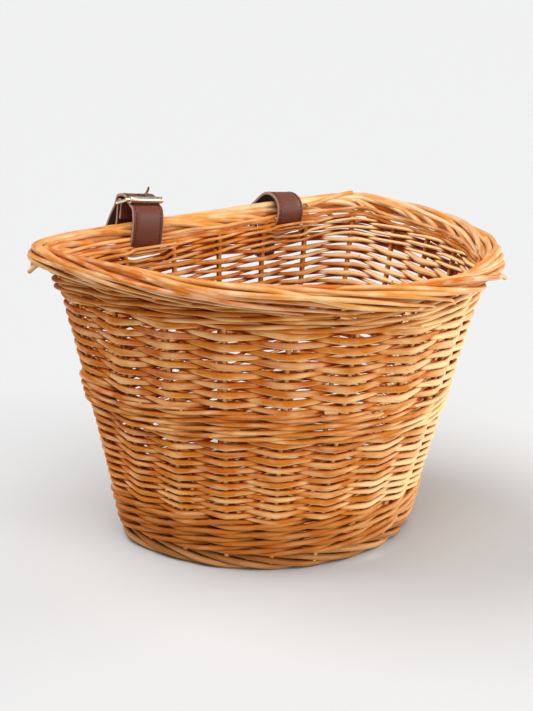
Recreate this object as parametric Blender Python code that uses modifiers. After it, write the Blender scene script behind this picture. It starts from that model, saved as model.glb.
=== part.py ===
"""Woven willow handlebar basket with a flat back and two buckled leather straps.

Metres, +Z up. The flat back faces +Y, towards the handlebar. The origin is under
the middle of the bounding box, on the surface the basket stands on.
"""

import math

import bmesh
import bpy
import numpy as np
from mathutils import Euler, Matrix, Vector

# Plan outlines: half width, front, back and widest line in Y, powers of the front and back halves.
# They are centre lines: of the rolled border, of the woven wall's top and of its foot.
MIDDLE_Y = -0.0149
BORDER_PLAN = (0.1650, MIDDLE_Y - 0.1345, MIDDLE_Y + 0.1345, MIDDLE_Y + 0.0840, 1.94, 5.5)
WALL_TOP_PLAN = (0.1545, MIDDLE_Y - 0.1240, MIDDLE_Y + 0.1240, MIDDLE_Y + 0.0840, 1.94, 5.5)
WALL_FOOT_PLAN = (0.1130, MIDDLE_Y - 0.0530, MIDDLE_Y + 0.1190, MIDDLE_Y + 0.0700, 2.14, 2.2)

# Heights
WALL_FOOT_Z = 0.003
WALL_TOP_Z = 0.2130
BORDER_Z = 0.2210
RIM_RISE = 0.016 / 0.2210        # share of its height that the wall gains for each metre towards the back
FIT_GAP = 0.0003
CUTTER_SPARE = 0.010             # how far a cutting rod runs past what it cuts

# Woven bands: name, lowest and highest point
WALL_THICKNESS = 0.0090
BANDS = (
    ("bottom_wale", 0.0155, 0.0420),
    ("lower_weave", 0.0425, 0.1150),
    ("middle_wale", 0.1155, 0.1380),
    ("upper_weave", 0.1385, 0.1965),
    ("top_wale", 0.1970, 0.2130),
)
FOOT_HEIGHT = 0.0135
FOOT_THICKNESS = 0.0120
BORDER_RADIUS = 0.0100
AROUND = 60                      # points round each band, the foot and the base
BORDER_AROUND = 72
CURVE_SAMPLES = 2400             # points from which an outline's even spacing is read

# Stakes: the upright rods
STAKE_COUNT = 20
STAKE_PHASE = -0.012             # share of the way round from the front centre to the first stake
STAKE_RADIUS = 0.0025
STAKE_SIDES = 6
SIX_SIDED = math.radians(70)     # edges sharper than this stay sharp on a rod of six sides
STAKE_BOTTOM_Z = 0.0020
STAKE_TOP_Z = 0.2125

# Base
BASE_INSET = 0.0068              # from the foot's centre line to the base's edge
BASE_Z = (0.0035, 0.0115)
BASE_STICK_X = (-0.075, -0.050, -0.025, 0.0, 0.025, 0.050, 0.075)
BASE_STICK_RADIUS = 0.0025
BASE_STICK_SPARE = 0.004

# Straps
STRAP_WIDTH = 0.0260
LEATHER = 0.0022
STRAP_SLOT_WIDTH = 0.0340
STRAP_SLOT_DEPTH = 0.0125
STRAP_SLOT_LENGTH = 0.0400       # of the cutter, through the wall
HEEL_RADIUS = 0.0014
PATH_STEP = 0.0024
FOLD_RADIUS = HEEL_RADIUS + FIT_GAP + LEATHER / 2
FOLD_POINTS = 5
FRAME_LENGTH = 0.0198            # from the heel bar to the roller's bar
FRAME_HALF_WIDTH = 0.0154
FRAME_CORNER = 0.0025
ROLLER_RADIUS = 0.0027
ROLLER_BORE = 0.0018
ROLLER_HALF_LENGTH = 0.0137
EYE_INNER = 0.0018
EYE_OUTER = 0.0030
EYE_WIDTH = 0.0026
PRONG_RADIUS = 0.0010
PRONG_STEP = 0.0035
PRONG_GAP_RADIUS = 0.0043        # the opening in the fold that lets the prong turn
PRONG_GAP_WIDTH = 0.0044
PRONG_HOLE_SIZE = (0.0032, 0.0140, 0.0120)
PRONG_HOLE_CENTRE = (0.0095, 0.0025)    # along the frame from the heel bar, and out of its plane
RIVET_RADIUS = 0.0015
RIVET_HEAD_RADIUS = 0.0034
RIVET_HEAD_TOP = 0.7             # share of the head's radius that is flat
RIVET_HEAD_HEIGHT = 0.0009
RIVET_HALF_LENGTH = 0.0043
RIVET_HOLE_LENGTH = 0.0200
ROUND_SIDES = 12
WELD = 0.000001

# Where the tail of a strap runs past its buckle: along the frame from the heel bar, and out of its plane
TAIL_AT_BUCKLE = (
    (0.0181, -0.0041), (0.0148, -0.0012), (0.0113, 0.0030),
    (0.0068, 0.0054), (0.0017, 0.0062), (-0.0036, 0.0057),
)
PRONG_PATH = (
    (0.0022, 0.0012), (0.0052, 0.0030), (0.0096, 0.0040), (0.0150, 0.0042),
    (0.0200, 0.0045), (0.0236, 0.0062), (0.0262, 0.0092),
)

# Each strap's way round the border, from under the heel bar to the roller, and its free tail:
# (Y, Z) from the border's centre
STRAPS = {
    "left": {
        "x": -0.0607, "twist": math.radians(-10), "roll": math.radians(6),
        "heel": (0.0105, 0.0215), "frame_angle": math.radians(163.8), "run_angle": math.radians(-90),
        "flap": ((0.0080, 0.0100), (0.0077, 0.0145)),
        "loop": (
            (0.0133, 0.0160), (0.0133, 0.0100), (0.0136, 0.0030), (0.0142, -0.0050), (0.0112, -0.0115),
            (0.0055, -0.0148), (0.0, -0.0155), (-0.0060, -0.0145), (-0.0116, -0.0108),
            (-0.0145, -0.0045), (-0.0154, 0.0040), (-0.0153, 0.0115), (-0.0144, 0.0168), (-0.0121, 0.0208),
        ),
        "tail": (
            (0.0186, 0.0190), (0.0242, 0.0115), (0.0296, 0.0030), (0.0338, -0.0060), (0.0362, -0.0140),
        ),
        "rivet": (0.0105, 0.0135), "rivet_angle": 0.0,
    },
    "right": {
        "x": 0.0840, "twist": math.radians(-3), "roll": math.radians(6),
        "heel": (0.0180, -0.0200), "frame_angle": math.radians(58), "run_angle": math.radians(164.5),
        "flap": ((0.0080, -0.0146), (0.0135, -0.0160)),
        "loop": (
            (0.0120, -0.0212), (0.0060, -0.0192), (0.0, -0.0168), (-0.0060, -0.0145), (-0.0114, -0.0106),
            (-0.0143, -0.0045), (-0.0150, 0.0020), (-0.0132, 0.0080), (-0.0088, 0.0124),
            (-0.0018, 0.0148), (0.0050, 0.0142), (0.0110, 0.0108), (0.0170, 0.0058), (0.0222, 0.0014),
        ),
        "tail": ((0.0187, -0.0307), (0.0160, -0.0362), (0.0138, -0.0415)),
        "rivet": (0.0103, -0.0179), "rivet_angle": math.radians(74.5),
    },
}

COLOURS = {
    "willow_rod": ((0.78, 0.45, 0.17), 0.42, 0.0),
    "willow_weave": ((0.72, 0.38, 0.12), 0.45, 0.0),
    "willow_stake": ((0.62, 0.30, 0.10), 0.50, 0.0),
    "willow_base": ((0.66, 0.36, 0.14), 0.55, 0.0),
    "dark_leather": ((0.13, 0.045, 0.030), 0.45, 0.0),
    "pale_brass": ((0.80, 0.74, 0.56), 0.25, 1.0),
}


# ---- Plain helpers

def new_collection(name, is_helper=False):
    collection = bpy.data.collections.new(name)
    collection.hide_render = is_helper
    bpy.context.scene.collection.children.link(collection)
    return collection


def clear_scene():
    for obj in list(bpy.data.objects):
        bpy.data.objects.remove(obj, do_unlink=True)


def material(name):
    found = bpy.data.materials.get(name)
    if found:
        return found
    colour, roughness, metallic = COLOURS[name]
    made = bpy.data.materials.new(name)
    made.use_nodes = True
    shader = made.node_tree.nodes["Principled BSDF"]
    shader.inputs["Base Color"].default_value = (*colour, 1.0)
    shader.inputs["Roughness"].default_value = roughness
    shader.inputs["Metallic"].default_value = metallic
    return made


def add_object(name, data, finish=None):
    obj = bpy.data.objects.new(name, data)
    if finish is None:
        CUTTERS.objects.link(obj)
        obj.hide_render = True
        obj.display_type = "WIRE"
    else:
        BASKET.objects.link(obj)
        data.materials.append(material(finish))
    return obj


def mesh_from(bm, name):
    mesh = bpy.data.meshes.new(name)
    bmesh.ops.recalc_face_normals(bm, faces=bm.faces)
    bm.to_mesh(mesh)
    bm.free()
    return mesh


def smooth(obj, angle=math.radians(40)):
    """Smooth faces, with a sharp edge wherever the surface turns by more than the angle."""
    obj.data.shade_smooth()
    obj.data.set_sharp_from_angle(angle=angle)


def curve_to_mesh(obj):
    """The curve's own mesh, with its caps welded, in place of the curve."""
    bpy.context.view_layer.update()
    evaluated = obj.evaluated_get(bpy.context.evaluated_depsgraph_get())
    mesh = bpy.data.meshes.new_from_object(evaluated)
    bm = bmesh.new()
    bm.from_mesh(mesh)
    bmesh.ops.remove_doubles(bm, verts=bm.verts, dist=WELD)
    bmesh.ops.recalc_face_normals(bm, faces=bm.faces)
    bm.to_mesh(mesh)
    bm.free()
    name, place, parent = obj.name, obj.matrix_world.copy(), obj.parent
    collections = list(obj.users_collection)
    hidden = obj.hide_render
    bpy.data.objects.remove(obj, do_unlink=True)
    solid = bpy.data.objects.new(name, mesh)
    for collection in collections:
        collection.objects.link(solid)
    solid.parent = parent
    solid.matrix_world = place
    solid.hide_render = hidden
    return solid


def cut(obj, cutter, operation="DIFFERENCE"):
    modifier = obj.modifiers.new(cutter.name, "BOOLEAN")
    modifier.operation = operation
    modifier.object = cutter
    modifier.solver = "EXACT"


def poly_curve(name, points, radius=None, cyclic=False, finish=None, resolution=2):
    """A round rod through the points, or with no radius a flat outline."""
    data = bpy.data.curves.new(name, "CURVE")
    data.dimensions = "2D" if radius is None else "3D"
    spline = data.splines.new("POLY")
    spline.points.add(len(points) - 1)
    for point, place in zip(spline.points, points):
        point.co = (*place, 1.0)
    spline.use_cyclic_u = cyclic
    if radius is not None:
        data.bevel_depth = radius
        data.bevel_resolution = resolution
        data.use_fill_caps = True
    return add_object(name, data, finish)


def rod_mesh(name, radius, length, sides=ROUND_SIDES):
    bm = bmesh.new()
    bmesh.ops.create_cone(bm, cap_ends=True, segments=sides, radius1=radius, radius2=radius, depth=length)
    return mesh_from(bm, name)


def box_mesh(name, size):
    bm = bmesh.new()
    bmesh.ops.create_cube(bm, size=1.0, matrix=Matrix.Diagonal((*size, 1.0)))
    return mesh_from(bm, name)


def smooth_path(points, step):
    """Points about a step apart on the smooth curve through these ones."""
    points = [Vector(point) for point in points]
    ends = [2 * points[0] - points[1], *points, 2 * points[-1] - points[-2]]
    path = []
    for a, b, c, d in zip(ends, ends[1:], ends[2:], ends[3:]):
        pieces = max(1, round((c - b).length / step))
        for i in range(pieces):
            t = i / pieces
            path.append(0.5 * (2 * b + (c - a) * t + (2 * a - 5 * b + 4 * c - d) * t * t
                               + (3 * b - a - 3 * c + d) * t ** 3))
    return path + [points[-1]]


# ---- The woven wall

def outline(plan, count, shift=0.0):
    """Evenly spaced points round a plan, from its front centre towards +X, moved on by a share of the way."""
    half_width, front, back, widest, front_power, back_power = plan
    turn = np.arange(CURVE_SAMPLES) / CURVE_SAMPLES * 2 * np.pi - np.pi / 2
    power = np.where(np.sin(turn) < 0, front_power, back_power)
    reach = np.where(np.sin(turn) < 0, widest - front, back - widest)
    x = half_width * np.sign(np.cos(turn)) * np.abs(np.cos(turn)) ** (2 / power)
    y = widest + reach * np.sign(np.sin(turn)) * np.abs(np.sin(turn)) ** (2 / power)
    x = np.append(x, x[0])
    y = np.append(y, y[0])
    length = np.append(0.0, np.cumsum(np.hypot(np.diff(x), np.diff(y))))
    wanted = (np.arange(count) / count + shift) % 1.0 * length[-1]
    return np.column_stack((np.interp(wanted, length, x), np.interp(wanted, length, y)))


def wall_ring(height, count=AROUND, shift=0.0):
    """Points of the wall's centre surface at a height above its foot, before the rim's rise is added."""
    share = (height - WALL_FOOT_Z) / (WALL_TOP_Z - WALL_FOOT_Z)
    foot = outline(WALL_FOOT_PLAN, count, shift)
    ring = foot + (outline(WALL_TOP_PLAN, count, shift) - foot) * share
    rise = height * (1 + RIM_RISE * (ring[:, 1] - MIDDLE_Y))
    return [Vector((x, y, z)) for (x, y), z in zip(ring, rise)]


def ring_band(name, low, high, thickness, finish):
    """An open strip between two rings, thickened into a closed band."""
    bm = bmesh.new()
    lower = [bm.verts.new(point) for point in low]
    upper = [bm.verts.new(point) for point in high]
    count = len(lower)
    for i in range(count):
        j = (i + 1) % count
        bm.faces.new((lower[i], lower[j], upper[j], upper[i]))
    band = add_object(name, mesh_from(bm, name), finish)
    solidify = band.modifiers.new("thickness", "SOLIDIFY")
    solidify.thickness = thickness
    solidify.offset = 0.0
    solidify.use_even_offset = True
    return band


def stake_lines():
    low = wall_ring(STAKE_BOTTOM_Z, STAKE_COUNT, STAKE_PHASE)
    high = wall_ring(STAKE_TOP_Z, STAKE_COUNT, STAKE_PHASE)
    return list(zip(low, high))


def rod_matrix(low, high):
    turn = (high - low).to_track_quat("Z", "Y").to_matrix().to_4x4()
    return Matrix.Translation((low + high) / 2) @ turn


def make_stakes():
    for number, (low, high) in enumerate(stake_lines(), 1):
        name = f"stake_{number:02d}"
        mesh = rod_mesh(name, STAKE_RADIUS, (high - low).length, STAKE_SIDES)
        stake = add_object(name, mesh, "willow_stake")
        stake.matrix_world = rod_matrix(low, high)
        smooth(stake, SIX_SIDED)


def make_stake_channels():
    """One cutter with a rod for each stake, wider by the gap and running past the wall's ends."""
    bm = bmesh.new()
    for low, high in stake_lines():
        past = (high - low).normalized() * CUTTER_SPARE
        bmesh.ops.create_cone(
            bm, cap_ends=True, segments=STAKE_SIDES, radius1=STAKE_RADIUS + FIT_GAP,
            radius2=STAKE_RADIUS + FIT_GAP, depth=(high - low).length + 2 * past.length,
            matrix=rod_matrix(low - past, high + past))
    return add_object("stake_channels", mesh_from(bm, "stake_channels"))


def make_strap_slots():
    """Boxes that open the top wale under the border for each strap."""
    bm = bmesh.new()
    top = BORDER_Z - BORDER_RADIUS / 2
    bottom = wall_ring(WALL_TOP_Z, 2)[1].z - STRAP_SLOT_DEPTH
    for strap in STRAPS.values():
        size = Matrix.Diagonal((STRAP_SLOT_WIDTH, STRAP_SLOT_LENGTH, top - bottom, 1.0))
        place = Matrix.Translation((strap["x"], WALL_TOP_PLAN[2], (top + bottom) / 2))
        bmesh.ops.create_cube(bm, size=1.0, matrix=place @ size)
    return add_object("strap_slots", mesh_from(bm, "strap_slots"))


def make_wall():
    channels = make_stake_channels()
    slots = make_strap_slots()
    for name, low, high in BANDS:
        band = ring_band(name, wall_ring(low), wall_ring(high), WALL_THICKNESS, "willow_weave")
        cut(band, channels)
        if name == "top_wale":
            cut(band, slots)
    ring = outline(WALL_FOOT_PLAN, AROUND)
    low = [Vector((x, y, 0.0)) for x, y in ring]
    high = [Vector((x, y, FOOT_HEIGHT)) for x, y in ring]
    foot = ring_band("foot_border", low, high, FOOT_THICKNESS, "willow_rod")
    cut(foot, channels)
    make_stakes()


def make_border():
    points = outline(BORDER_PLAN, BORDER_AROUND)
    path = [(x, y, BORDER_Z * (1 + RIM_RISE * (y - MIDDLE_Y))) for x, y in points]
    poly_curve("rim_border", path, BORDER_RADIUS, cyclic=True, finish="willow_rod", resolution=3)


# ---- The base

def base_plan():
    half_width, front, back, *rest = WALL_FOOT_PLAN
    return (half_width - BASE_INSET, front + BASE_INSET, back - BASE_INSET, *rest)


def stick_span(x):
    """Where a line along Y at this x leaves the base plate."""
    half_width, front, back, widest, front_power, back_power = base_plan()
    across = abs(x) / half_width
    ahead = (widest - front) * (1 - across ** front_power) ** (1 / front_power)
    behind = (back - widest) * (1 - across ** back_power) ** (1 / back_power)
    return widest - ahead, widest + behind


def make_base():
    ring = outline(base_plan(), AROUND)
    plate = poly_curve("base_weave", [(x, y, 0.0) for x, y in ring], cyclic=True, finish="willow_base")
    plate.data.fill_mode = "BOTH"
    plate.data.extrude = (BASE_Z[1] - BASE_Z[0]) / 2
    plate.location.z = (BASE_Z[0] + BASE_Z[1]) / 2
    plate = curve_to_mesh(plate)
    plate.data.materials.clear()
    plate.data.materials.append(material("willow_base"))
    bm = bmesh.new()
    for number, x in enumerate(BASE_STICK_X, 1):
        front, back = stick_span(x)
        low = Vector((x, front + BASE_STICK_SPARE, plate.location.z))
        high = Vector((x, back - BASE_STICK_SPARE, plate.location.z))
        name = f"base_stick_{number}"
        mesh = rod_mesh(name, BASE_STICK_RADIUS, (high - low).length, STAKE_SIDES)
        stick = add_object(name, mesh, "willow_stake")
        stick.matrix_world = rod_matrix(low, high)
        smooth(stick, SIX_SIDED)
        past = Vector((0.0, CUTTER_SPARE, 0.0))
        bmesh.ops.create_cone(
            bm, cap_ends=True, segments=STAKE_SIDES, radius1=BASE_STICK_RADIUS + FIT_GAP,
            radius2=BASE_STICK_RADIUS + FIT_GAP, depth=(high - low + 2 * past).length,
            matrix=rod_matrix(low - past, high + past))
    cut(plate, add_object("stick_channels", mesh_from(bm, "stick_channels")))


# ---- Straps and buckles. Each strap has its own frame on the border's centre, X along the border.

def at_buckle(strap, along, out):
    """(Y, Z) of a point given along the buckle frame from its heel bar and out of its plane."""
    c, s = math.cos(strap["frame_angle"]), math.sin(strap["frame_angle"])
    return (strap["heel"][0] + along * c + out * s, strap["heel"][1] + along * s - out * c)


def fold_points(strap):
    """Half a turn of leather round the heel bar, from the flap's side to the loop's."""
    start = strap["run_angle"] - math.pi / 2
    return [(strap["heel"][0] + FOLD_RADIUS * math.cos(start - turn),
             strap["heel"][1] + FOLD_RADIUS * math.sin(start - turn))
            for turn in np.linspace(0, math.pi, FOLD_POINTS)]


def strap_path(strap):
    buckle = [at_buckle(strap, along, out) for along, out in TAIL_AT_BUCKLE]
    points = [*strap["flap"], *fold_points(strap), *strap["loop"], *buckle, *strap["tail"]]
    return smooth_path(points, PATH_STEP)


def ribbon_outline(path, thickness):
    """The edge all round a ribbon of this thickness, seen from its side."""
    left, right = [], []
    for before, point, after in zip([path[0], *path], path, [*path[1:], path[-1]]):
        along = (after - before).normalized()
        side = Vector((-along.y, along.x)) * thickness / 2
        left.append(point + side)
        right.append(point - side)
    return left + right[::-1]


def strap_holder(side, strap):
    """An empty on the border's centre line that carries one strap's pieces."""
    holder = bpy.data.objects.new(f"{side}_strap_pivot", None)
    BASKET.objects.link(holder)
    y = BORDER_PLAN[2]
    holder.location = (strap["x"], y, BORDER_Z * (1 + RIM_RISE * (y - MIDDLE_Y)))
    holder.rotation_euler = Euler((0.0, strap["roll"], strap["twist"]))
    return holder


def hang(obj, holder, centre, turn):
    """Puts an object on a holder with its origin at (Y, Z), turned about X."""
    obj.parent = holder
    obj.location = (0.0, *centre)
    obj.rotation_euler = (turn, 0.0, 0.0)


def hang_across(obj, holder, centre):
    """Puts an object on a holder with its origin at (Y, Z) and its Z axis along the holder's X."""
    obj.parent = holder
    obj.location = (0.0, *centre)
    obj.rotation_euler = (0.0, math.pi / 2, 0.0)


def turned(name, profile, finish):
    """A closed profile of (radius, height) turned about Z."""
    bm = bmesh.new()
    verts = [bm.verts.new((radius, 0.0, height)) for radius, height in profile]
    for i, vert in enumerate(verts):
        bm.edges.new((vert, verts[(i + 1) % len(verts)]))
    mesh = bpy.data.meshes.new(name)
    bm.to_mesh(mesh)
    bm.free()
    obj = add_object(name, mesh, finish)
    screw = obj.modifiers.new("turn", "SCREW")
    screw.steps = ROUND_SIDES
    screw.render_steps = ROUND_SIDES
    screw.use_merge_vertices = True
    screw.merge_threshold = WELD
    smooth(obj)
    return obj


def make_strap(side, strap, holder):
    name = f"{side}_strap"
    points = [(x, y, 0.0) for x, y in ribbon_outline(strap_path(strap), LEATHER)]
    leather = poly_curve(name, points, cyclic=True, finish="dark_leather")
    leather.data.fill_mode = "BOTH"
    leather.data.extrude = STRAP_WIDTH / 2
    leather = curve_to_mesh(leather)
    leather.data.transform(Matrix(((0, 0, 1, 0), (1, 0, 0, 0), (0, 1, 0, 0), (0, 0, 0, 1))))
    leather.parent = holder
    gap = add_object(f"{side}_prong_gap", rod_mesh("prong_gap", PRONG_GAP_RADIUS, PRONG_GAP_WIDTH))
    hang_across(gap, holder, strap["heel"])
    cut(leather, gap)
    hole = add_object(f"{side}_prong_hole", box_mesh("prong_hole", PRONG_HOLE_SIZE))
    hang(hole, holder, at_buckle(strap, *PRONG_HOLE_CENTRE), strap["frame_angle"])
    cut(leather, hole)
    rivet_mesh = rod_mesh("rivet_hole", RIVET_RADIUS + FIT_GAP, RIVET_HOLE_LENGTH)
    rivet_hole = add_object(f"{side}_rivet_hole", rivet_mesh)
    hang(rivet_hole, holder, strap["rivet"], strap["rivet_angle"] - math.pi / 2)
    cut(leather, rivet_hole)


def make_rivet(side, strap, holder):
    half = RIVET_HALF_LENGTH
    top = half + RIVET_HEAD_HEIGHT
    flat = RIVET_HEAD_RADIUS * RIVET_HEAD_TOP
    profile = (
        (0.0, top), (flat, top), (RIVET_HEAD_RADIUS, half), (RIVET_RADIUS, half),
        (RIVET_RADIUS, -half), (RIVET_HEAD_RADIUS, -half), (flat, -top), (0.0, -top),
    )
    rivet = turned(f"{side}_strap_rivet", profile, "pale_brass")
    hang(rivet, holder, strap["rivet"], strap["rivet_angle"] - math.pi / 2)


def make_buckle_frame(side, strap, holder):
    """A wire rectangle with round corners: X across, Y along from the heel bar."""
    corners = (
        (FRAME_HALF_WIDTH, 0.0, -90), (FRAME_HALF_WIDTH, FRAME_LENGTH, 0),
        (-FRAME_HALF_WIDTH, FRAME_LENGTH, 90), (-FRAME_HALF_WIDTH, 0.0, 180),
    )
    path = []
    for x, y, start in corners:
        centre_x = x - math.copysign(FRAME_CORNER, x)
        centre_y = min(max(y, FRAME_CORNER), FRAME_LENGTH - FRAME_CORNER)
        for turn in (0, 30, 60, 90):
            angle = math.radians(start + turn)
            round_x = centre_x + FRAME_CORNER * math.cos(angle)
            path.append((round_x, centre_y + FRAME_CORNER * math.sin(angle), 0.0))
    frame = poly_curve(f"{side}_buckle_frame", path, HEEL_RADIUS, cyclic=True, finish="pale_brass")
    hang(frame, holder, strap["heel"], strap["frame_angle"])


def make_roller(side, strap, holder):
    profile = (
        (ROLLER_RADIUS, ROLLER_HALF_LENGTH), (ROLLER_RADIUS, -ROLLER_HALF_LENGTH),
        (ROLLER_BORE, -ROLLER_HALF_LENGTH), (ROLLER_BORE, ROLLER_HALF_LENGTH),
    )
    roller = turned(f"{side}_buckle_roller", profile, "pale_brass")
    hang_across(roller, holder, at_buckle(strap, FRAME_LENGTH, 0.0))


def make_prong(side, strap, holder):
    """A pin with an eye round the heel bar; its tip lies on the roller."""
    name = f"{side}_buckle_prong"
    half = EYE_WIDTH / 2
    profile = ((EYE_OUTER, half), (EYE_OUTER, -half), (EYE_INNER, -half), (EYE_INNER, half))
    eye = turned(name, profile, "pale_brass")
    hang_across(eye, holder, strap["heel"])
    path = [(0.0, *at_buckle(strap, along, out)) for along, out in PRONG_PATH]
    shank = curve_to_mesh(poly_curve(f"{side}_prong_shank", smooth_path(path, PRONG_STEP), PRONG_RADIUS))
    shank.display_type = "WIRE"
    shank.parent = holder
    cut(eye, shank, "UNION")


def make_straps():
    for side, strap in STRAPS.items():
        holder = strap_holder(side, strap)
        make_strap(side, strap, holder)
        make_rivet(side, strap, holder)
        make_buckle_frame(side, strap, holder)
        make_roller(side, strap, holder)
        make_prong(side, strap, holder)


clear_scene()
BASKET = new_collection("handlebar_basket")
CUTTERS = new_collection("cutters", is_helper=True)
make_wall()
make_border()
make_base()
make_straps()
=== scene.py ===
"""Looks of the woven willow handlebar basket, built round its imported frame.

Metres, +Z up, flat back towards +Y. Every willow rod is swept along its own path between the
stakes. A place on the wall is a share of the way round, from the front centre towards +X, and
a height above the surface the basket stands on; a place in stakes counts from the first stake.
"""

import math

import bmesh
import bpy
import numpy as np
from mathutils import Euler, Matrix, Quaternion, Vector


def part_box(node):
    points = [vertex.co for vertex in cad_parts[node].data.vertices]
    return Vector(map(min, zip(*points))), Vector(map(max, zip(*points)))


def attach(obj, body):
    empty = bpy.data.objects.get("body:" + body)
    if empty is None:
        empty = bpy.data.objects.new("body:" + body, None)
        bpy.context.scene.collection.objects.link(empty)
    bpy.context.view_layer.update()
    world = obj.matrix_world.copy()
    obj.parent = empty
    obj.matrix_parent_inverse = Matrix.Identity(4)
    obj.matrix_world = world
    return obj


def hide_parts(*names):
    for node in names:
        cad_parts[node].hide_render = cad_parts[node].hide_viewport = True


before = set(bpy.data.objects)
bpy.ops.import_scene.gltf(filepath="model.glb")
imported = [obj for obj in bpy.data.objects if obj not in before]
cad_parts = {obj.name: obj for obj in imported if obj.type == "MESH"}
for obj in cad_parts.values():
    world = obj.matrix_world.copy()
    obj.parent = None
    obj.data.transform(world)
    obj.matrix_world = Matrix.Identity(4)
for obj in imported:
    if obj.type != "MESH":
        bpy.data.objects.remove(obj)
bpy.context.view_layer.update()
RANDOM = np.random.default_rng(11)
MM = 0.001
UP = np.array((0.0, 0.0, 1.0))

# Plan outlines: half width, front, back and widest line in Y, powers of the front and back halves
MIDDLE_Y = -0.0149
BORDER_PLAN = (0.1650, MIDDLE_Y - 0.1345, MIDDLE_Y + 0.1345, MIDDLE_Y + 0.0840, 1.94, 5.5)
WALL_TOP_PLAN = (0.1545, MIDDLE_Y - 0.1240, MIDDLE_Y + 0.1240, MIDDLE_Y + 0.0840, 1.94, 5.5)
WALL_FOOT_PLAN = (0.1130, MIDDLE_Y - 0.0530, MIDDLE_Y + 0.1190, MIDDLE_Y + 0.0700, 2.14, 2.2)
BASE_INSET = 0.0068
WALL_FOOT_Z = 0.003
WALL_TOP_Z = 0.2130
BORDER_Z = 0.2210
RIM_RISE = 0.016 / 0.2210
FOOT_MIDDLE_Z = 0.00675
CURVE_SAMPLES = 2400
SHARE_NUDGE, HEIGHT_NUDGE = 0.003, 2 * MM       # steps over which directions on the wall are taken

STAKE_COUNT = 20
STAKE_PHASE = -0.012
STAKE_RADIUS = 0.0022
STAKE_BOTTOM_Z = 0.0020
STAKE_TOP_Z = 0.2125

# Bands: name, lowest and highest point, rows
RANDING = (("lower_weave", 0.0422, 0.1153, 21), ("upper_weave", 0.1382, 0.1968, 17))
WALING = (
    ("bottom_wale", 0.0140, 0.0423, 4), ("middle_wale", 0.1152, 0.1383, 4), ("top_wale", 0.1967, 0.2130, 3),
)
ROWS_LOW_Z = 0.0420
# How far the rows half way up the wall lie above an even spacing, at these shares of the way round
ROW_SHIFT_SHARES = (0.0, 0.1, 0.2, 0.36, 0.5, 0.64, 0.74, 0.85, 1.0)
ROW_SHIFTS = (-8 * MM, -11 * MM, -11 * MM, 0.0, 2 * MM, -2 * MM, -11 * MM, -6 * MM, -8 * MM)
SECTION_SIDES = 10
STEPS_PER_STAKE = 14


# ---- The wall's surface

def plan_table(plan):
    """Shares of the way round a plan outline, with the X and Y there."""
    half_width, front, back, widest, front_power, back_power = plan
    turn = np.arange(CURVE_SAMPLES + 1) / CURVE_SAMPLES * 2 * np.pi - np.pi / 2
    ahead = np.sin(turn) < 0
    power = np.where(ahead, front_power, back_power)
    reach = np.where(ahead, widest - front, back - widest)
    x = half_width * np.sign(np.cos(turn)) * np.abs(np.cos(turn)) ** (2 / power)
    y = widest + reach * np.sign(np.sin(turn)) * np.abs(np.sin(turn)) ** (2 / power)
    length = np.append(0.0, np.cumsum(np.hypot(np.diff(x), np.diff(y))))
    return length / length[-1], x, y


BORDER_LINE = plan_table(BORDER_PLAN)
TOP_LINE = plan_table(WALL_TOP_PLAN)
FOOT_LINE = plan_table(WALL_FOOT_PLAN)


def on_line(table, share):
    length, x, y = table
    share = np.asarray(share) % 1.0
    return np.stack((np.interp(share, length, x), np.interp(share, length, y)), -1)


def raised(xy, height):
    """Points at a height that grows towards the back, as the rim does."""
    z = height * (1 + RIM_RISE * (xy[..., 1] - MIDDLE_Y))
    return np.concatenate((xy, z[..., None]), -1)


def wall_surface(share, height):
    blend = ((height - WALL_FOOT_Z) / (WALL_TOP_Z - WALL_FOOT_Z))[..., None]
    foot = on_line(FOOT_LINE, share)
    return raised(foot + (on_line(TOP_LINE, share) - foot) * blend, height)


def unit(vectors):
    return vectors / np.linalg.norm(vectors, axis=-1, keepdims=True)


def wall_place(share, height):
    """Points of the wall's centre surface and the outward normals there."""
    along = wall_surface(share + SHARE_NUDGE, height) - wall_surface(share - SHARE_NUDGE, height)
    up = wall_surface(share, height + HEIGHT_NUDGE) - wall_surface(share, height - HEIGHT_NUDGE)
    return wall_surface(share, height), unit(np.cross(along, up))


def line_place(table, share, height):
    """Points of a border's centre line, the outward normals and up."""
    along = on_line(table, share + SHARE_NUDGE) - on_line(table, share - SHARE_NUDGE)
    normal = unit(np.stack((along[..., 1], -along[..., 0], np.zeros(along.shape[:-1])), -1))
    return raised(on_line(table, share), height), normal, UP


def moved(place, out, up):
    """Points moved out and up from places given as points, outward normals and up."""
    points, normal, lift = place
    return points + normal * out[:, None] + lift * up[:, None]


def share_of(stakes):
    return STAKE_PHASE + stakes / STAKE_COUNT


# ---- Rods

WOBBLE_WAVES = 5
GRAIN_START = 10.0                  # metres along the grain within which a rod starts
GRAIN_RADIUS = 2 * MM
# Depth within which a rod's skin is darkened with painted shade, the deeper the darker
CORE_SIZE = 5.6 * MM
ROD_SHARP = math.radians(60)


def wobble(count, steps, size):
    """Smooth random numbers along a rod, about zero."""
    t = np.linspace(0.0, 1.0, count)[:, None]
    cycles = RANDOM.uniform(0.3, 1.0, WOBBLE_WAVES) * steps
    phase = RANDOM.uniform(0, 2 * np.pi, WOBBLE_WAVES)
    return size * np.sin(2 * np.pi * (t * cycles + phase)).sum(1) / math.sqrt(WOBBLE_WAVES / 2)


def lengths_along(points):
    return np.append(0.0, np.cumsum(np.linalg.norm(np.diff(points, axis=0), axis=1)))


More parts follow.
